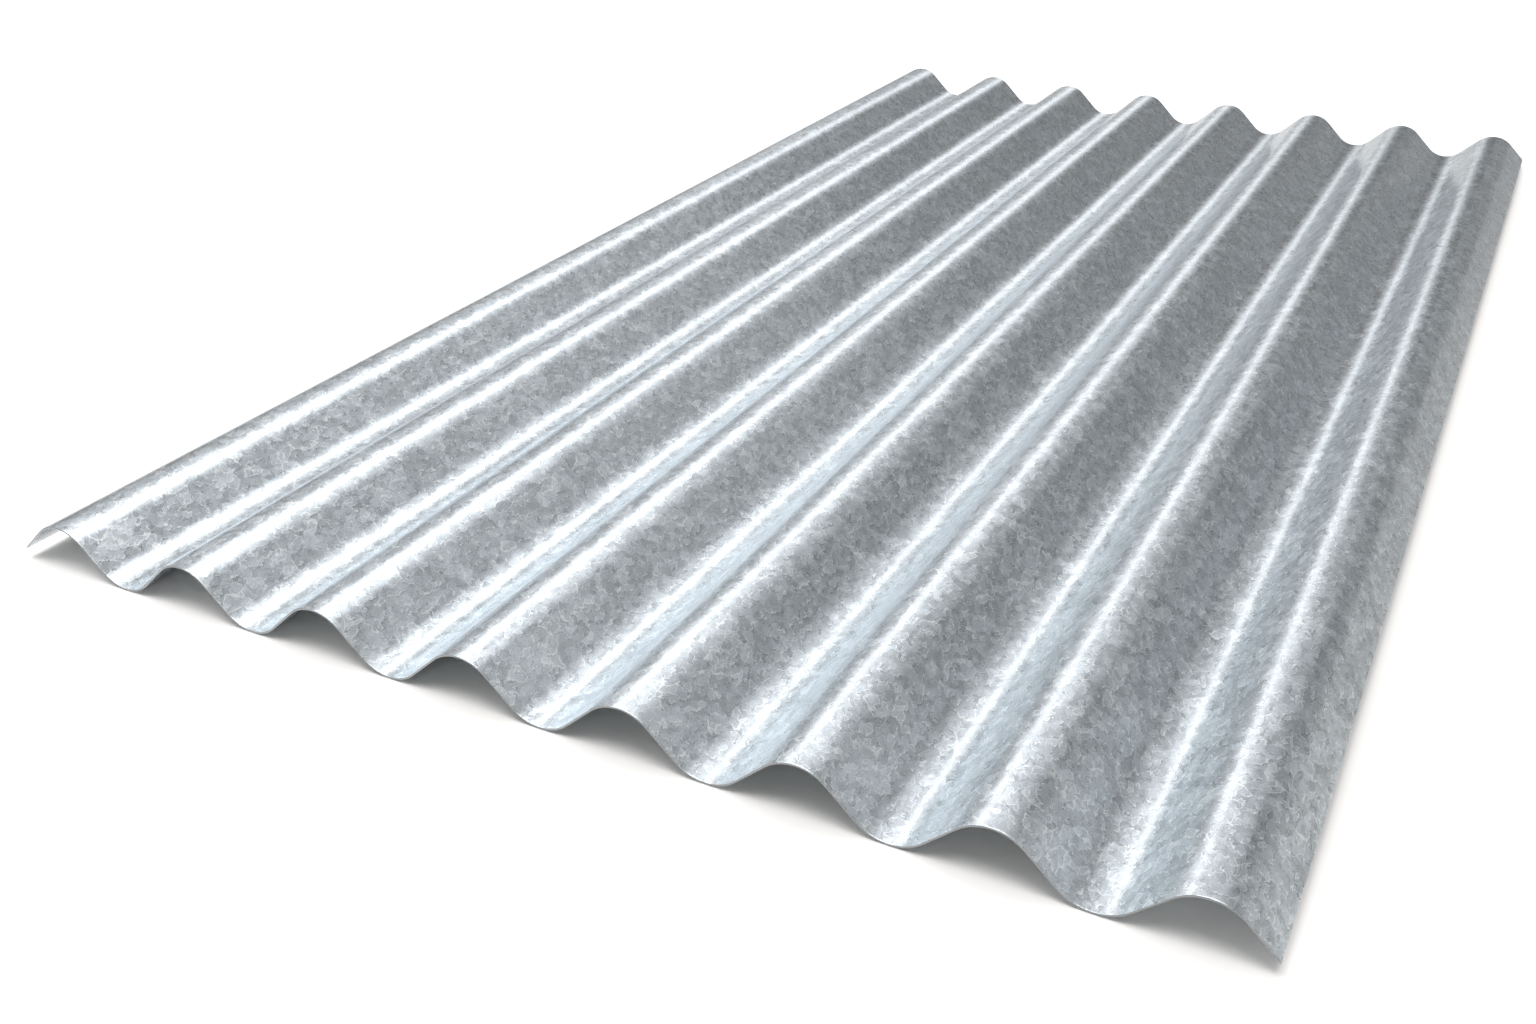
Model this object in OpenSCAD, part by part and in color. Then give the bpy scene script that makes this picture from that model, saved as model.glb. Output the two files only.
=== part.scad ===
// Corrugated steel sheet: one thin galvanised sheet, rolled into a row of round waves.
// X runs across the waves, Y along them and Z is up. The origin is under the middle
// of the sheet, on the floor that the valleys rest on.

/* [Sheet] */
// Length along the waves, from one square-cut end to the other
sheet_l = 1067; // [600:1:3660]
// Thickness of the steel, zinc coat included
sheet_t = 1; // [0.4:0.1:1.6]

/* [Waves] */
// Number of crests across the sheet
crests = 8; // [2:1:14]
// Distance from one crest to the next
pitch = 76.2; // [60:0.1:100]
// Height from valley to crest, measured at the middle of the steel
depth = 22; // [18:0.5:30]
// Slope of the straight flank between a crest and a valley, in degrees
flank_slope = 43.5; // [36:0.5:50]
// Steel beyond the outermost crests, measured along the wave to the cut edge
edge_run = 31; // [10:0.5:40]

/* [Hidden] */

// Flat steps that each round bend is drawn in
bend_steps = 24;
// Radius of every bend at the middle of the steel, which makes the bends meet the flanks smoothly
bend_r = (pitch / 4 * tan(flank_slope) - depth / 2) / (1 / cos(flank_slope) - 1);
// Lengths along the wave: one whole bend, one flank, and from a crest to the next valley
bend_len = 2 * bend_r * flank_slope * PI / 180;
flank_len = 2 * (pitch / 4 - bend_r * sin(flank_slope)) / cos(flank_slope);
half_wave_len = bend_len + flank_len;
// Where the steel starts and stops along the wave, counted from the first crest
wave_start = -edge_run;
wave_end = 2 * (crests - 1) * half_wave_len + edge_run;

// The bend nearest to a station on the wave. Even bends are crests and odd ones are valleys.
function nearest_bend(s) = round(s / half_wave_len);

// Signed distance along the wave from the middle of the nearest bend
function past_bend(s) = s - nearest_bend(s) * half_wave_len;

// Angle turned through since the middle of the nearest bend, in degrees
function turned(s) =
    sign(past_bend(s)) * min(abs(past_bend(s)) / bend_r * 180 / PI, flank_slope);

// Straight flank covered since the end of the nearest bend
function flank_covered(s) = max(0, abs(past_bend(s)) - bend_len / 2);

// 1 on a crest's side of the wave and -1 on a valley's
function side(s) = nearest_bend(s) % 2 == 0 ? 1 : -1;

// Point at a station on the wave, raised off the middle of the steel by lift
function wave_point(s, lift) =
    let (
        a = turned(s),
        run = sign(a) * flank_covered(s) * cos(a),
        drop = flank_covered(s) * sin(abs(a)),
        x = nearest_bend(s) * pitch / 2 + bend_r * sin(a) + run,
        z = side(s) * (depth / 2 - bend_r * (1 - cos(a)) - drop)
    )
    [x + lift * side(s) * sin(a), z + lift * cos(a)];

// Stations along the wave: both cut edges, and the steps of each bend that lies between them
function stations() =
    let (
        steps = [
            for (bend = [-1 : 2 * crests - 1], i = [-bend_steps / 2 : bend_steps / 2])
                bend * half_wave_len + i / bend_steps * bend_len
        ]
    )
    concat([wave_start], [for (s = steps) if (s > wave_start && s < wave_end) s], [wave_end]);

// Outline of the steel across the waves, with its middle line at the height of the flanks' middles
module wave_outline() {
    s = stations();
    last = len(s) - 1;
    polygon(concat(
        [for (i = [0 : last]) wave_point(s[i], sheet_t / 2)],
        [for (i = [last : -1 : 0]) wave_point(s[i], -sheet_t / 2)]
    ));
}

// The whole sheet, with its valleys on the floor
module corrugated_sheet() {
    color([0.70, 0.72, 0.74])
    translate([-(crests - 1) * pitch / 2, 0, (depth + sheet_t) / 2])
    rotate([90, 0, 0])
    linear_extrude(height = sheet_l, center = true)
    wave_outline();
}

corrugated_sheet();
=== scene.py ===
"""Galvanised corrugated sheet, lying on a pale studio floor.

The frame gives the sheet's length, height and place. A Geometry Nodes tree rolls a flat blank
into the waves, and the zinc coat is a material on the blank's own coordinates, so its spangle
bends with the steel.
"""
import math

import bpy
from mathutils import Matrix, Quaternion, Vector


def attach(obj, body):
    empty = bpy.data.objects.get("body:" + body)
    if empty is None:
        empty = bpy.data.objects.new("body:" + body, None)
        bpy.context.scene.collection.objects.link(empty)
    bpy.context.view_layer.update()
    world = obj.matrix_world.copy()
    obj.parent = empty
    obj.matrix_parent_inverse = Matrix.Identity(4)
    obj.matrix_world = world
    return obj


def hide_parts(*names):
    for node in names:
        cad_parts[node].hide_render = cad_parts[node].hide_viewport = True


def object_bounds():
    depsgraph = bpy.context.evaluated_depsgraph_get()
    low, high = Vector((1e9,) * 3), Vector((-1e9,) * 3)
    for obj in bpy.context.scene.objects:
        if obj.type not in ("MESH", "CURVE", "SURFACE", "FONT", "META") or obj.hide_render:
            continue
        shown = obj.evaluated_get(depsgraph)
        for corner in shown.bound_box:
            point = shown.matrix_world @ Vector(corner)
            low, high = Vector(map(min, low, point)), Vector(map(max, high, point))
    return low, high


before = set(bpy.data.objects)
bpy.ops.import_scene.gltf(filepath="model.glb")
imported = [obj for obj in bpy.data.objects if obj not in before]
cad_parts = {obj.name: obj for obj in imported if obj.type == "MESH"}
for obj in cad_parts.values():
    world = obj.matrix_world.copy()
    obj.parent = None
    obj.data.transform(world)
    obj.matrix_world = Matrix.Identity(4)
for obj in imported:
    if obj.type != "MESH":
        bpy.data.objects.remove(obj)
cad_low, cad_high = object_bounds()

# ---- sizes, in metres -------------------------------------------------------------------------
MM = 0.001
CRESTS = 8
PITCH = 76.2 * MM
THICKNESS = 1.0 * MM
EDGE_RUN = 31 * MM
FLANK_SLOPE = math.radians(43.5)
LENGTH = cad_high.y - cad_low.y
DEPTH = cad_high.z - cad_low.z - THICKNESS

# Lengths along the wave that follow from them, as in the part's own source
BEND_RADIUS = (PITCH / 4 * math.tan(FLANK_SLOPE) - DEPTH / 2) / (1 / math.cos(FLANK_SLOPE) - 1)
HALF_WAVE = 2 * BEND_RADIUS * FLANK_SLOPE + (
    2 * (PITCH / 4 - BEND_RADIUS * math.sin(FLANK_SLOPE)) / math.cos(FLANK_SLOPE)
)
GIRTH = 2 * (CRESTS - 1) * HALF_WAVE + 2 * EDGE_RUN

# ---- node helpers -----------------------------------------------------------------------------


class Bench:
    """Adds nodes to a tree. A value given to a socket is a number, a vector or another socket."""

    def __init__(self, tree):
        self.tree = tree

    def node(self, kind, inputs=None, **settings):
        made = self.tree.nodes.new(kind)
        for name, value in settings.items():
            setattr(made, name, value)
        for name, value in (inputs or {}).items():
            self.feed(made.inputs[name], value)
        return made

    def feed(self, socket, value):
        if isinstance(value, bpy.types.NodeSocket):
            self.tree.links.new(value, socket)
        else:
            socket.default_value = value

    def maths(self, operation, *values):
        made = self.node("ShaderNodeMath", operation=operation)
        for socket, value in zip(made.inputs, values):
            self.feed(socket, value)
        return made.outputs[0]

    def add(self, a, b):
        return self.maths("ADD", a, b)

    def less(self, a, b):
        return self.maths("SUBTRACT", a, b)

    def times(self, a, b):
        return self.maths("MULTIPLY", a, b)

    def over(self, a, b):
        return self.maths("DIVIDE", a, b)

    def vector(self, operation, *values):
        made = self.node("ShaderNodeVectorMath", operation=operation)
        for socket, value in zip(made.inputs, values):
            self.feed(socket, value)
        return made.outputs[0]

    def scaled(self, vector, factor):
        made = self.node("ShaderNodeVectorMath", {"Vector": vector, "Scale": factor}, operation="SCALE")
        return made.outputs[0]

    def join(self, x, y, z):
        return self.node("ShaderNodeCombineXYZ", {"X": x, "Y": y, "Z": z}).outputs[0]

    def split(self, vector):
        return self.node("ShaderNodeSeparateXYZ", {"Vector": vector}).outputs

    def fade(self, value, low, high, to_low=0.0, to_high=1.0):
        """Carries value from low..high to to_low..to_high, smoothly at both ends."""
        made = self.node(
            "ShaderNodeMapRange",
            {"Value": value, "From Min": low, "From Max": high, "To Min": to_low, "To Max": to_high},
            interpolation_type="SMOOTHSTEP",
        )
        return made.outputs["Result"]


def group_inputs(tree, sizes):
    """Gives a tree named float inputs from {name: value}, and returns its Group Input's outputs."""
    for name, value in sizes.items():
        kind = "NodeSocketInt" if isinstance(value, int) else "NodeSocketFloat"
        socket = tree.interface.new_socket(name, in_out="INPUT", socket_type=kind)
        socket.default_value = value
    return tree.nodes.new("NodeGroupInput").outputs


# ---- the sheet --------------------------------------------------------------------------------
# How finely the blank is divided along the wave and along the sheet
COLUMNS = 561
ROWS = 71
# Distance between the two extra rows of points inside each cut, which make its worn arris
ARRIS = 0.15 * MM
# How far the rolled steel wanders from its true wave, and over what length
WANDER = 0.12 * MM
WANDER_LENGTH = 160 * MM

SHEET_SIZES = {
    "Length": LENGTH,
    "Thickness": THICKNESS,
    "Crests": CRESTS,
    "Pitch": PITCH,
    "Depth": DEPTH,
    "Flank Slope": FLANK_SLOPE,
    "Bend Radius": BEND_RADIUS,
    "Half Wave": HALF_WAVE,
    "Girth": GIRTH,
    "Columns": COLUMNS,
    "Rows": ROWS,
    "Arris": ARRIS,
    "Wander": WANDER,
    "Wander Length": WANDER_LENGTH,
    "Seed": 7,
}


def graded(b, place, whole, count, arris):
    """Moves evenly spaced points so that the first two steps in from each cut are an arris wide.

    Gives the new place, and 1 on the cut itself and 0 elsewhere."""
    half = b.over(whole, 2.0)
    step = b.over(whole, b.less(count, 1.0))
    steps_in = b.over(b.less(half, b.maths("ABSOLUTE", place)), step)
    inner_step = b.over(
        b.less(half, b.times(arris, 2.0)), b.less(b.over(b.less(count, 1.0), 2.0), 2.0)
    )
    near = b.times(b.maths("MINIMUM", steps_in, 2.0), arris)
    far = b.times(b.maths("MAXIMUM", b.less(steps_in, 2.0), 0.0), inner_step)
    moved = b.times(b.maths("SIGN", place), b.less(half, b.add(near, far)))
    return moved, b.maths("LESS_THAN", steps_in, 0.5)


def rolled(b, size, station, lift):
    """Place of a point at a station along the wave, raised off the middle of the steel by lift."""
    past_first = b.add(station, b.times(b.less(size["Crests"], 1.0), size["Half Wave"]))
    bend = b.maths("ROUND", b.over(past_first, size["Half Wave"]))
    past = b.less(past_first, b.times(bend, size["Half Wave"]))
    way = b.maths("SIGN", past)
    away = b.maths("ABSOLUTE", past)
    turned = b.maths("MINIMUM", b.over(away, size["Bend Radius"]), size["Flank Slope"])
    on_flank = b.maths("MAXIMUM", b.less(away, b.times(size["Bend Radius"], size["Flank Slope"])), 0.0)
    crest = b.less(1.0, b.times(b.maths("FLOORED_MODULO", bend, 2.0), 2.0))
    sine = b.maths("SINE", turned)
    cosine = b.maths("COSINE", turned)
    sideways = b.add(
        b.times(way, b.add(b.times(size["Bend Radius"], sine), b.times(on_flank, cosine))),
        b.times(b.times(lift, crest), b.times(way, sine)),
    )
    centre = b.times(b.less(bend, b.less(size["Crests"], 1.0)), b.over(size["Pitch"], 2.0))
    drop = b.add(b.times(size["Bend Radius"], b.less(1.0, cosine)), b.times(on_flank, sine))
    height = b.add(
        b.times(crest, b.less(b.over(size["Depth"], 2.0), drop)), b.times(lift, cosine)
    )
    floor_up = b.over(b.add(size["Depth"], size["Thickness"]), 2.0)
    return b.add(centre, sideways), b.add(height, floor_up)


def bake_place(b, flat, face_way, size):
    """Lays both faces of the blank side by side in a unit square, with the cuts in strips above."""
    scale = b.over(0.99, b.times(size["Girth"], 2.0))
    x, y, z = b.split(flat)
    top = b.maths("GREATER_THAN", face_way, 0.5)
    bottom = b.maths("LESS_THAN", face_way, -0.5)
    cut = b.less(1.0, b.add(top, bottom))
    across = b.times(b.add(x, b.over(size["Girth"], 2.0)), scale)
    along = b.times(b.add(y, b.over(size["Length"], 2.0)), scale)
    through = b.times(b.add(z, b.over(size["Thickness"], 2.0)), b.times(scale, 8.0))
    end_cut = b.maths("GREATER_THAN", b.maths("ABSOLUTE", y), b.less(b.over(size["Length"], 2.0), 1e-5))
    side_cut = b.less(1.0, end_cut)
    high_end = b.maths("GREATER_THAN", y, 0.0)
    high_side = b.maths("GREATER_THAN", x, 0.0)
    end_u = b.add(across, b.times(high_end, 0.5))
    side_v = b.add(0.88, b.add(through, b.times(high_side, 0.04)))
    cut_u = b.add(b.times(end_cut, end_u), b.times(side_cut, along))
    cut_v = b.add(b.times(end_cut, b.add(0.82, through)), b.times(side_cut, side_v))
    face_u = b.add(across, b.times(bottom, 0.5))
    u = b.add(b.times(cut, cut_u), b.times(b.less(1.0, cut), face_u))
    v = b.add(b.times(cut, cut_v), b.times(b.less(1.0, cut), along))
    return b.join(u, v, 0.0)


def rolling_tree(coat):
    """The Geometry Nodes tree that rolls a flat blank into a corrugated sheet."""
    tree = bpy.data.node_groups.new("roll_corrugations", "GeometryNodeTree")
    tree.interface.new_socket("Geometry", in_out="OUTPUT", socket_type="NodeSocketGeometry")
    size = group_inputs(tree, SHEET_SIZES)
    b = Bench(tree)

    blank = b.node(
        "GeometryNodeMeshCube",
        {
            "Size": b.join(size["Girth"], size["Length"], size["Thickness"]),
            "Vertices X": size["Columns"],
            "Vertices Y": size["Rows"],
            "Vertices Z": 2,
        },
    ).outputs["Mesh"]

    def store(mesh, name, value, kind, domain):
        made = b.node(
            "GeometryNodeStoreNamedAttribute",
            {"Geometry": mesh, "Name": name, "Value": value},
            data_type=kind,
            domain=domain,
        )
        return made.outputs["Geometry"]

    def named(name, kind):
        return b.node("GeometryNodeInputNamedAttribute", {"Name": name}, data_type=kind).outputs["Attribute"]

    # Cuts get a worn arris: their points are drawn in from both faces by its width
    x, y, z = b.split(b.node("GeometryNodeInputPosition").outputs[0])
    station, side_cut = graded(b, x, size["Girth"], size["Columns"], size["Arris"])
    along, end_cut = graded(b, y, size["Length"], size["Rows"], size["Arris"])
    on_cut = b.maths("MAXIMUM", side_cut, end_cut)
    half_steel = b.less(b.over(size["Thickness"], 2.0), b.times(on_cut, size["Arris"]))
    flat = b.node(
        "GeometryNodeSetPosition",
        {"Geometry": blank, "Position": b.join(station, along, b.times(b.maths("SIGN", z), half_steel))},
    ).outputs[0]

    # The blank's own coordinates, for the coat, and which way each face looks before rolling
    normal = b.split(b.node("GeometryNodeInputNormal").outputs[0])
    position = b.node("GeometryNodeInputPosition").outputs[0]
    sheet = store(flat, "blank_place", position, "FLOAT_VECTOR", "POINT")
    sheet = store(sheet, "face_way", b.maths("ROUND", normal["Z"]), "FLOAT", "FACE")
    place = named("blank_place", "FLOAT_VECTOR")
    sheet = store(sheet, "OFBake", bake_place(b, place, named("face_way", "FLOAT"), size), "FLOAT2", "CORNER")

    # Roll it, with a slight wander that both faces share
    px, py, pz = b.split(place)
    noise = b.node(
        "ShaderNodeTexNoise",
        {
            "Vector": b.join(px, py, 0.0),
            "W": b.times(size["Seed"], 3.1),
            "Scale": b.over(1.0, size["Wander Length"]),
            "Detail": 1.0,
        },
        noise_dimensions="4D",
    ).outputs[0]
    across, height = rolled(b, size, px, pz)
    lifted = b.add(height, b.times(noise, size["Wander"]))
    sheet = b.node(
        "GeometryNodeSetPosition", {"Geometry": sheet, "Position": b.join(across, py, lifted)}
    ).outputs[0]
    sheet = b.node("GeometryNodeSetShadeSmooth", {"Geometry": sheet, "Shade Smooth": True}).outputs[0]
    sheet = b.node("GeometryNodeRealizeInstances", {"Geometry": sheet}).outputs[0]
    sheet = b.node("GeometryNodeSetMaterial", {"Geometry": sheet, "Material": coat}).outputs[0]
    end = b.node("NodeGroupOutput")
    tree.links.new(sheet, end.inputs["Geometry"])
    return tree


def make_sheet(coat):
    """Rolls the sheet and gives it as a plain mesh, in its place."""
    tree = rolling_tree(coat)
    seed_mesh = bpy.data.meshes.new("blank")
    maker = bpy.data.objects.new("blank", seed_mesh)
    bpy.context.scene.collection.objects.link(maker)
    rolling = maker.modifiers.new("rolling", "NODES")
    rolling.node_group = tree
    for item in tree.interface.items_tree:
        if item.item_type == "SOCKET" and item.in_out == "INPUT":
            rolling[item.identifier] = SHEET_SIZES[item.name]
    bpy.context.view_layer.update()
    evaluated = maker.evaluated_get(bpy.context.evaluated_depsgraph_get())
    mesh = bpy.data.meshes.new_from_object(evaluated)
    mesh.name = "rolled_sheet"
    # The blank brings an empty slot of its own, which would come before the coat's
    mesh.materials.clear()
    mesh.materials.append(coat)
    mesh.polygons.foreach_set("material_index", [0] * len(mesh.polygons))
    bpy.data.objects.remove(maker)
    sheet = bpy.data.objects.new("rolled_sheet", mesh)
    bpy.context.scene.collection.objects.link(sheet)
    return sheet


# ---- the zinc coat ----------------------------------------------------------------------------
RIM_HEIGHT = 0.004 * MM
ZINC_COLOUR = (0.640, 0.690, 0.728)
ZINC_ROUGHNESS = 0.285
CUT_COLOUR = (0.36, 0.37, 0.38, 1.0)
CUT_ROUGHNESS = 0.45
# How much paler or darker the coat gets with each pattern, as a share of its colour
GROUND_SHADE = 0.93
TONE_SHADE = 0.27
# The rims' and ridges' painted highlights and painted shade
RIM_PAINTED_LIGHT = 0.80
FROST_SHADE = 0.45
CLOUD_SHADE = 0.12
# The darkest that the painted shade on a rim's shaded side gets
PAINTED_RIM_SHADE = -0.14
# Crystals grew longer along the sheet, the way it was drawn out of the bath
DRAWN_OUT = 0.72
# How far apart the two faces lie in the patterns, in millimetres
FACES_APART = 700.0


def grain_inputs(tree, sizes, results):
    """Gives a pattern's group its Place, its float inputs and its float results."""
    tree.interface.new_socket("Place", in_out="INPUT", socket_type="NodeSocketVector")
    for name, value in sizes.items():
        socket = tree.interface.new_socket(name, in_out="INPUT", socket_type="NodeSocketFloat")
        socket.default_value = value
    for name in results:
        tree.interface.new_socket(name, in_out="OUTPUT", socket_type="NodeSocketFloat")
    return tree.nodes.new("NodeGroupInput").outputs


def crimped(b, place, width, far, octaves):
    """Pushes a flat pattern's place about by up to far, over lengths near width."""
    noise = b.node(
        "ShaderNodeTexNoise",
        {"Vector": place, "Scale": b.over(1.0, width), "Detail": octaves},
        noise_dimensions="2D",
    ).outputs["Color"]
    return b.vector("ADD", place, b.scaled(b.vector("SUBTRACT", noise, (0.5, 0.5, 0.5)), far))


def leaf_group():
    """Zinc crystals that grew over each other in the bath, each a leaf with a curled rim.

    Size and Rim Width are in millimetres, and Share is how many of the crystals are pale ones.
    Tone runs from 0 on the ground to 1 on a pale leaf, with painted shading across each leaf, and Rim from -1
    where a leaf's edge carries painted shade to 1 where it carries a painted highlight."""
    tree = bpy.data.node_groups.new("zinc_leaves", "ShaderNodeTree")
    sizes = {"Size": 5.0, "Crimp": 1.0, "Share": 0.45, "Rim Width": 0.3, "Shift": 0.0}
    given = grain_inputs(tree, sizes, ("Tone", "Rim"))
    b = Bench(tree)
    apart = b.join(given["Shift"], b.times(given["Shift"], 1.7), 0.0)
    place = b.vector("ADD", given["Place"], apart)
    far = b.times(given["Crimp"], given["Size"])
    bent = crimped(b, place, b.times(given["Size"], 1.3), far, 2.0)
    density = b.over(1.0, given["Size"])
    settings = {"Vector": bent, "Scale": density, "Randomness": 1.0}
    cells = b.node("ShaderNodeTexVoronoi", settings, feature="F1", voronoi_dimensions="2D").outputs
    edge = b.node(
        "ShaderNodeTexVoronoi", settings, feature="DISTANCE_TO_EDGE", voronoi_dimensions="2D"
    ).outputs["Distance"]
    chance, curl, turn = b.node("ShaderNodeSeparateColor", {"Color": cells["Color"]}).outputs[:3]
    leaf = b.fade(chance, b.less(0.9, given["Share"]), b.less(1.1, given["Share"]))
    inside = b.vector("SUBTRACT", bent, b.scaled(cells["Position"], given["Size"]))
    x, y, _ = b.split(b.vector("NORMALIZE", inside))
    # Each crystal gets its own way for the painted light, so that the painted highlight and painted shade on
    # its rim fall on different sides
    lean = b.less(b.times(turn, 2.4), 1.2)
    painted_light_side = b.add(b.times(b.maths("COSINE", lean), y), b.times(b.maths("SINE", lean), x))
    rim_top = b.times(given["Rim Width"], 0.35)
    rim = b.fade(b.times(edge, given["Size"]), rim_top, given["Rim Width"], 1.0, 0.0)
    patches = b.node(
        "ShaderNodeTexNoise",
        {"Vector": place, "Scale": b.over(0.8, given["Size"]), "Detail": 1.0},
        noise_dimensions="2D",
    ).outputs["Fac"]
    strength = b.times(b.add(0.2, b.times(leaf, 0.8)), b.fade(patches, 0.42, 0.6, 0.15, 1.0))
    # Painted shading across each pale leaf, lighter towards its painted highlight side
    painted_leaf_shading = b.times(b.times(b.less(0.9, edge), painted_light_side), 0.25)
    tone = b.times(leaf, b.add(b.add(0.55, b.times(curl, 0.5)), painted_leaf_shading))
    end = b.node("NodeGroupOutput")
    b.feed(end.inputs["Tone"], tone)
    b.feed(end.inputs["Rim"], b.times(b.times(rim, strength), painted_light_side))
    return tree


def curl_group():
    """Fine curled ridges between the leaves, along the level lines of a crimped noise.

    Size and Line Width are in millimetres. Ridge is -1 on the painted shade along one side of a ridge and 1
    on its painted highlight on top."""
    tree = bpy.data.node_groups.new("zinc_curls", "ShaderNodeTree")
    sizes = {"Size": 3.0, "Crimp": 1.0, "Line Width": 0.3, "Shift": 0.0}
    given = grain_inputs(tree, sizes, ("Ridge", "Tone"))
    b = Bench(tree)
    apart = b.join(b.times(given["Shift"], 1.3), given["Shift"], 0.0)
    place = b.vector("ADD", given["Place"], apart)
    bent = crimped(b, place, given["Size"], b.times(given["Crimp"], given["Size"]), 1.0)
    noise = b.node(
        "ShaderNodeTexNoise",
        {"Vector": bent, "Scale": b.over(1.0, given["Size"]), "Detail": 0.5},
        noise_dimensions="2D",
    ).outputs
    # The noise climbs about 0.35 over one Size
    step = b.over(b.times(given["Line Width"], 0.35), given["Size"])
    off_line = b.over(b.less(noise["Fac"], 0.5), step)
    on_top = b.fade(b.maths("ABSOLUTE", off_line), 0.0, 1.0, 1.0, 0.0)
    # Painted shade along one side of each ridge
    painted_shade_beside = b.fade(b.maths("ABSOLUTE", b.add(off_line, 1.6)), 0.0, 1.2, 1.0, 0.0)
    patchy = b.fade(b.split(noise["Color"])["Y"], 0.35, 0.6)
    end = b.node("NodeGroupOutput")
    b.feed(end.inputs["Ridge"], b.times(b.less(on_top, b.times(painted_shade_beside, 0.8)), patchy))
    b.feed(end.inputs["Tone"], b.fade(off_line, -0.5, 2.0))
    return tree


def zinc_coat():
    """Hot-dip galvanised steel: cool satin zinc with a leafy spangle."""
    coat = bpy.data.materials.new("galvanised_steel")
    coat.use_nodes = True
    tree = coat.node_tree
    b = Bench(tree)
    metal = tree.nodes["Principled BSDF"]
    metal.inputs["Metallic"].default_value = 1.0
    leaves, curls = leaf_group(), curl_group()
    flat = b.node("ShaderNodeAttribute", attribute_name="blank_place").outputs["Vector"]
    # The two faces of the sheet froze in patterns of their own
    face_way = b.node("ShaderNodeAttribute", attribute_name="face_way").outputs["Fac"]
    drawn_mm = b.vector("MULTIPLY", flat, (1 / MM, DRAWN_OUT / MM, 1 / MM))
    place_mm = b.vector("ADD", drawn_mm, b.join(b.times(face_way, FACES_APART), 0.0, 0.0))

    def pattern(group, **sizes):
        made = b.node("ShaderNodeGroup", node_tree=group)
        b.feed(made.inputs["Place"], place_mm)
        for name, value in sizes.items():
            b.feed(made.inputs[name.replace("_", " ")], value)
        return made.outputs

    large = pattern(leaves, Size=6.0, Crimp=1.0, Share=0.4, Rim_Width=0.6, Shift=0.0)
    small = pattern(leaves, Size=3.0, Crimp=1.1, Share=0.5, Rim_Width=0.5, Shift=31.0)
    coils = pattern(curls, Size=3.4, Crimp=1.3, Line_Width=0.40, Shift=0.0)
    frost = b.node(
        "ShaderNodeTexNoise", {"Vector": place_mm, "Scale": 1.6, "Detail": 1.0}, noise_dimensions="2D"
    ).outputs["Fac"]
    clouds = b.node(
        "ShaderNodeTexNoise", {"Vector": place_mm, "Scale": 0.03, "Detail": 2.0}, noise_dimensions="2D"
    ).outputs["Fac"]

    tone = b.add(b.times(large["Tone"], 0.55), b.times(small["Tone"], 0.45))
    tone = b.add(tone, b.times(b.less(coils["Tone"], 0.5), 0.30))
    # Rims and ridges: painted highlight on one side, painted shade on the other; they go into the colour, the
    # roughness and the bump
    lines = b.add(b.times(large["Rim"], 0.50), b.times(small["Rim"], 0.40))
    lines = b.maths("MAXIMUM", b.add(lines, b.times(coils["Ridge"], 0.60)), PAINTED_RIM_SHADE)
    speckle = b.add(
        b.times(b.less(frost, 0.5), FROST_SHADE), b.times(b.less(clouds, 0.5), CLOUD_SHADE)
    )
    # The coat's colour: random tone and speckle, with painted shading in the leaves' tone and the painted
    # highlights and painted shade of the rims and ridges
    ground = b.add(GROUND_SHADE, b.times(tone, TONE_SHADE))
    bright = b.add(ground, b.add(b.times(lines, RIM_PAINTED_LIGHT), speckle))
    rough = b.add(ZINC_ROUGHNESS, b.add(b.times(tone, 0.05), b.times(lines, 0.08)))
    # A sheared cut shows bare steel, without the spangle
    coated = b.maths("ABSOLUTE", face_way)
    shown = b.node("ShaderNodeMix", data_type="RGBA")
    b.feed(shown.inputs["Factor"], coated)
    b.feed(shown.inputs["A"], CUT_COLOUR)
    b.feed(shown.inputs["B"], b.scaled(ZINC_COLOUR, bright))
    b.feed(metal.inputs["Base Color"], shown.outputs["Result"])
    b.feed(metal.inputs["Roughness"], b.fade(coated, 0.0, 1.0, CUT_ROUGHNESS, rough))
    # The crystals' rims stand a few thousandths of a millimetre proud
    relief = b.node("ShaderNodeBump", {"Height": b.times(lines, RIM_HEIGHT), "Distance": 1.0})
    b.feed(metal.inputs["Normal"], relief.outputs["Normal"])
    return coat


# ---- the studio -------------------------------------------------------------------------------
# How far from the sheet's middle the floor starts and ends its climb to a clean white
FLOOR_FADE = (0.5, 1.05)
# Where the battens hang, and how far off the banks and screens stand
BATTEN_ACROSS = -0.28
BATTEN_LEAN = 46
BATTEN_HEIGHT = 0.44
BANK_AWAY = 4.0
BANK_SIDE = 1.7
FLOOR_HALF = 30.0
FLOOR_COLOUR = (0.90, 0.885, 0.865, 1.0)
AIR_SHADE = (0.19, 0.19, 0.19, 1.0)
AIR_SEEN = (1.0, 1.0, 1.0, 1.0)
# The camera's place, its turn, dip and roll in degrees, and its lens in millimetres
EYE = (0.3102, -0.9453, 0.3772)
EYE_TURNS = (-26.77, 28.61, 0.53)
LENS = 36.42


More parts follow.
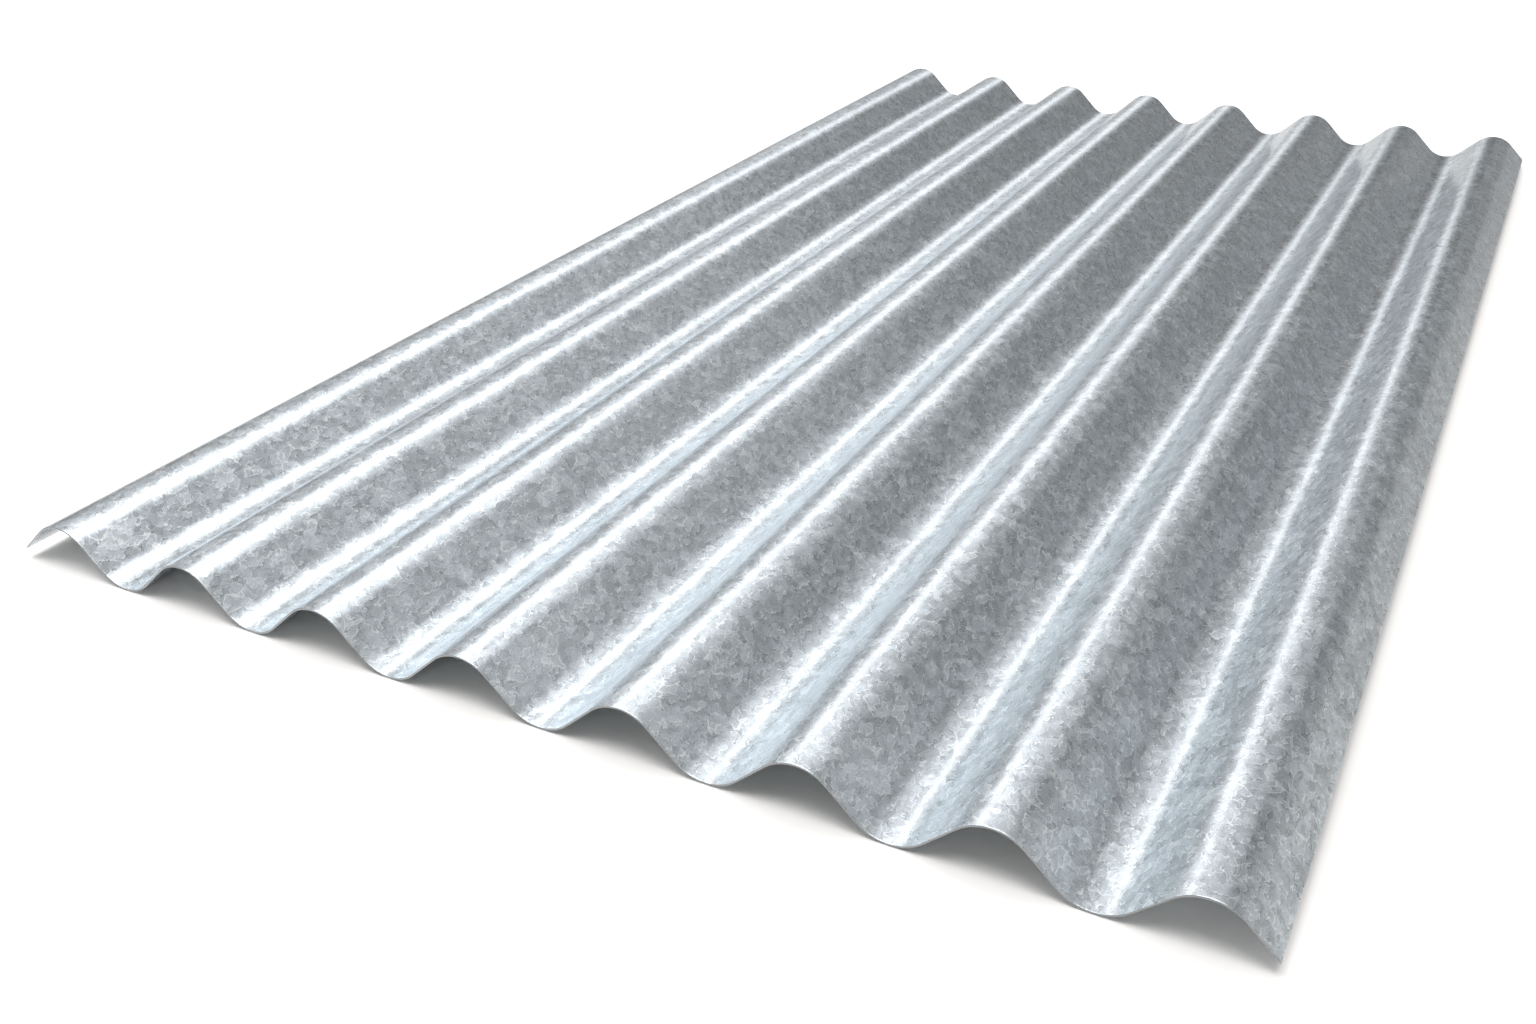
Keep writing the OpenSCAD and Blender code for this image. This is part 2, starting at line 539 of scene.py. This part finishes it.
def make_floor():
    """Plain white floor, just under the valleys. It brightens far out, where no lamp reaches."""
    half = FLOOR_HALF
    mesh = bpy.data.meshes.new("floor")
    corners = [(-half, -half, 0), (half, -half, 0), (half, half, 0), (-half, half, 0)]
    mesh.from_pydata(corners, [], [(0, 1, 2, 3)])
    mesh.transform(Matrix.Translation((0, 0, cad_low.z - 0.1 * MM)))
    floor = bpy.data.objects.new("floor", mesh)
    bpy.context.scene.collection.objects.link(floor)
    paint = bpy.data.materials.new("white_floor")
    paint.use_nodes = True
    b = Bench(paint.node_tree)
    surface = paint.node_tree.nodes["Principled BSDF"]
    surface.inputs["Base Color"].default_value = FLOOR_COLOUR
    surface.inputs["Roughness"].default_value = 0.9
    surface.inputs["Specular IOR Level"].default_value = 0.0
    surface.inputs["Emission Strength"].default_value = 1.0
    place = b.node("ShaderNodeTexCoord").outputs["Object"]
    away = b.node("ShaderNodeVectorMath", {0: place}, operation="LENGTH").outputs["Value"]
    # Only the camera sees it, so that the steel isn't lit from below its own horizon
    glow = b.times(b.fade(away, *FLOOR_FADE), b.node("ShaderNodeLightPath").outputs["Is Camera Ray"])
    b.feed(surface.inputs["Emission Color"], b.join(glow, glow, glow))
    mesh.materials.append(paint)


def softbox(name, centre, aim, width, height, brightness):
    """A rectangular lamp at centre that faces aim, as bright as brightness times a white wall."""
    lamp = bpy.data.lights.new(name, "AREA")
    lamp.shape = "RECTANGLE"
    lamp.size = width
    lamp.size_y = height
    lamp.energy = brightness * math.pi * width * height
    holder = bpy.data.objects.new(name, lamp)
    holder.location = centre
    holder.rotation_mode = "QUATERNION"
    holder.rotation_quaternion = (Vector(aim) - Vector(centre)).to_track_quat("-Z", "Y")
    holder.visible_camera = False
    bpy.context.scene.collection.objects.link(holder)
    return holder


def bank(name, turn, rise, brightness):
    """A square softbox far off that faces the sheet: turn is from +Y towards +X, rise off the floor."""
    turn, rise = math.radians(turn), math.radians(rise)
    way = Vector((math.sin(turn) * math.cos(rise), math.cos(turn) * math.cos(rise), math.sin(rise)))
    softbox(name, BANK_AWAY * way, (0, 0, 0), BANK_SIDE, BANK_SIDE, brightness)


def batten(name, across, lean, span, width, brightness):
    """A long lamp over the sheet, in line with its waves.

    Across is its place along X, span its reach along Y, and lean turns it to face the right."""
    near, far = span
    centre = Vector((across, (near + far) / 2, BATTEN_HEIGHT))
    holder = softbox(name, centre, centre - Vector((0, 0, 1)), width, far - near, brightness)
    holder.rotation_quaternion = Quaternion((0, 1, 0), -math.radians(lean))


def screen(name, turn, width, height, brightness):
    """An upright panel that stands on the floor, as far off as the banks."""
    turn = math.radians(turn)
    centre = Vector((BANK_AWAY * math.sin(turn), BANK_AWAY * math.cos(turn), height / 2))
    softbox(name, centre, (0, 0, height / 2), width, height, brightness)


def make_lamps():
    """Battens draw the bright lines along the waves, and the rest lights the floor and flanks.

    The ridge battens draw a line's white middle, and the wide ones its soft edges."""
    batten("ridge_batten_near", BATTEN_ACROSS, BATTEN_LEAN, (-1.0, 0.9), 0.20, 1.6)
    batten("ridge_batten_middle", BATTEN_ACROSS, BATTEN_LEAN, (0.9, 2.2), 0.21, 1.4)
    batten("ridge_batten_far", BATTEN_ACROSS, BATTEN_LEAN, (2.2, 5.0), 0.21, 0.7)
    batten("wide_batten_near", BATTEN_ACROSS, BATTEN_LEAN, (-1.0, 0.9), 0.90, 0.36)
    batten("wide_batten_middle", BATTEN_ACROSS, BATTEN_LEAN, (0.9, 2.2), 0.90, 0.18)
    batten("wide_batten_far", BATTEN_ACROSS, BATTEN_LEAN, (2.2, 5.0), 0.90, 0.06)
    screen("left_screen", -22, 2.3, 3.6, 0.12)
    screen("right_screen", 28, 3.6, 3.6, 0.10)
    softbox("roof_panel", (-0.5, 1.4, 2.6), (-0.5, 1.4, 0), 3.0, 2.6, 0.38)
    softbox("right_wall", (1.5, 0.1, 0.75), (0.2, -0.4, 0.0), 1.5, 1.1, 0.42)
    batten("right_batten", 0.20, 0, (-0.9, 0.8), 0.5, 0.20)
    bank("back_bank", 0, 76, 2.0)
    bank("front_bank", 180, 72, 4.0)
    bank("left_bank", -130, 68, 3.4)
    bank("right_bank", 130, 68, 4.4)


def make_world():
    """Dim grey air that lights from all round, and looks white to the camera."""
    world = bpy.data.worlds.new("studio")
    bpy.context.scene.world = world
    world.use_nodes = True
    b = Bench(world.node_tree)
    air = world.node_tree.nodes["Background"]
    seen = b.node("ShaderNodeLightPath").outputs["Is Camera Ray"]
    shade = b.node("ShaderNodeMix", data_type="RGBA")
    b.feed(shade.inputs["Factor"], seen)
    b.feed(shade.inputs["A"], AIR_SHADE)
    b.feed(shade.inputs["B"], AIR_SEEN)
    b.feed(air.inputs["Color"], shade.outputs["Result"])


def make_camera():
    """Looks along and down the waves from the near right corner, at a little over eye height."""
    eye = Vector(EYE)
    turn, dip, roll = (math.radians(angle) for angle in EYE_TURNS)
    ahead = Vector((math.sin(turn) * math.cos(dip), math.cos(turn) * math.cos(dip), -math.sin(dip)))
    camera = bpy.data.objects.new("camera", bpy.data.cameras.new("camera"))
    camera.data.sensor_width = 36.0
    camera.data.lens = LENS
    camera.data.clip_end = 60.0
    level = ahead.to_track_quat("-Z", "Y").to_matrix()
    camera.matrix_world = Matrix.Translation(eye) @ (level @ Matrix.Rotation(roll, 3, "Z")).to_4x4()
    bpy.context.scene.collection.objects.link(camera)
    bpy.context.scene.camera = camera


make_camera()
coat = zinc_coat()
sheet = make_sheet(coat)
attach(sheet, "root")
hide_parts("corrugated_sheet")

make_floor()
make_world()
make_lamps()
bpy.context.scene.view_settings.view_transform = "Standard"
